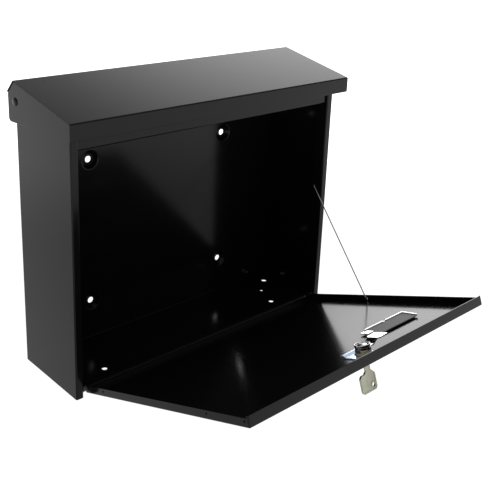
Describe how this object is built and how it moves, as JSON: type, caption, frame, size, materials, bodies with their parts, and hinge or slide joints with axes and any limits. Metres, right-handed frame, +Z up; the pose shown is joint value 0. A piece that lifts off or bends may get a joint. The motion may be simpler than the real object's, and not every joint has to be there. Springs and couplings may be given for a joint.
{
  "type": "wall mounted mailbox",
  "caption": "Sheet steel letterbox with a sloping lift-up lid, a drop-down front door held by a wire stay, a name holder and a cam lock with its key.",
  "frame": {"origin": "centre of the four wall holes, on the rear face of the back panel", "axes": "+X to the viewer's right across the front, +Y into the wall, +Z up"},
  "size_m": [0.3794, 0.3361, 0.3119],
  "materials": {
    "powder_coat": "black satin powder coat on sheet steel",
    "rivet_paint": "black painted rivet",
    "chrome": "bright chrome plate",
    "blue_zinc": "blue-bright zinc plate",
    "bright_steel": "bright plated steel",
    "nickel_silver": "nickel silver, satin",
    "nylon": "black nylon",
    "clear_plastic": "clear plastic sheet",
    "card": "blank white card"
  },
  "bodies": {
    "body": {"left_side_panel": "powder_coat", "right_side_panel": "powder_coat", "back_panel": "powder_coat", "bottom_panel": "powder_coat", "front_rail": "powder_coat", "lid_left_spacer": "nylon", "lid_right_spacer": "nylon", "door_left_pin": "rivet_paint", "door_right_pin": "rivet_paint", "door_left_washer": "nylon", "door_right_washer": "nylon", "stay_ferrule_top": "bright_steel", "wire_stay": "bright_steel"},
    "lid": {"lid_cover": "powder_coat", "lid_left_end": "powder_coat", "lid_right_end": "powder_coat", "lid_left_rivet": "rivet_paint", "lid_right_rivet": "rivet_paint"},
    "door": {"door_panel": "powder_coat", "name_frame": "chrome", "name_back": "chrome", "name_window": "clear_plastic", "name_card": "card", "lock_housing": "chrome", "lock_clip": "blue_zinc", "stay_ferrule_door": "bright_steel"},
    "plug": {"lock_plug": "bright_steel", "lock_cam": "bright_steel", "cam_washer": "bright_steel", "cam_screw": "bright_steel"},
    "key": {"key": "nickel_silver"}
  },
  "joints": [
    {"name": "lid_hinge", "type": "hinge", "parent": "body", "child": "lid", "pos_m": [0, -0.0135, 0.163], "axis": [-1, 0, 0], "range_deg": [0, 45]},
    {"name": "door_hinge", "type": "hinge", "parent": "body", "child": "door", "pos_m": [0, -0.097, -0.1205], "axis": [-1, 0, 0], "range_deg": [0, 69.3], "deforming": ["wire_stay"]},
    {"name": "lock_turn", "type": "hinge", "parent": "door", "child": "plug", "pos_m": [0, -0.31194, -0.04516], "axis": [0, -0.3535, -0.9354], "range_deg": [0, 90]},
    {"name": "key_slide", "type": "slide", "parent": "plug", "child": "key", "axis": [0, -0.3535, -0.9354], "range_m": [0, 0.012]}
  ]
}
